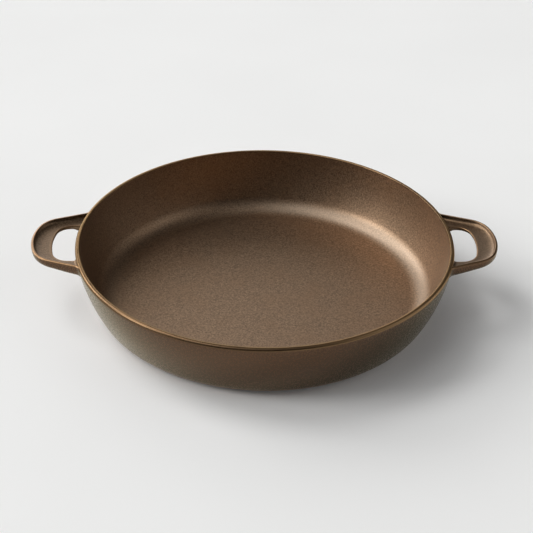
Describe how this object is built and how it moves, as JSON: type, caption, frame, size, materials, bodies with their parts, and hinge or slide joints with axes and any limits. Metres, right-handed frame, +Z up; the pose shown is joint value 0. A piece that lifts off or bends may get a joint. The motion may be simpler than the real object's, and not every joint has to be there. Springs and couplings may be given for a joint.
{
  "type": "double handle skillet",
  "caption": "Wide round cast-iron skillet with a flared wall, crowned rim and a dished finger loop on each side, for frying, roasting and serving.",
  "frame": {"origin": "centre of the flat underside, where the pan stands", "axes": "+X towards the right handle, both handles lie along X, +Z up out of the pan"},
  "size_m": [0.439, 0.3556, 0.0647],
  "materials": {
    "pan_iron": "fine grained, bronze brown seasoning with a soft satin sheen",
    "rim_iron": "smoothed crown, bronze brown with lighter coppery edges",
    "handle_iron": "as-cast satin, bronze brown with lighter coppery edges on the raised border"
  },
  "bodies": {
    "root": {"pan_base": "pan_iron", "bottom_corner": "pan_iron", "side_wall": "pan_iron", "rim_band": "rim_iron", "left_handle": "handle_iron", "right_handle": "handle_iron"}
  },
  "joints": []
}
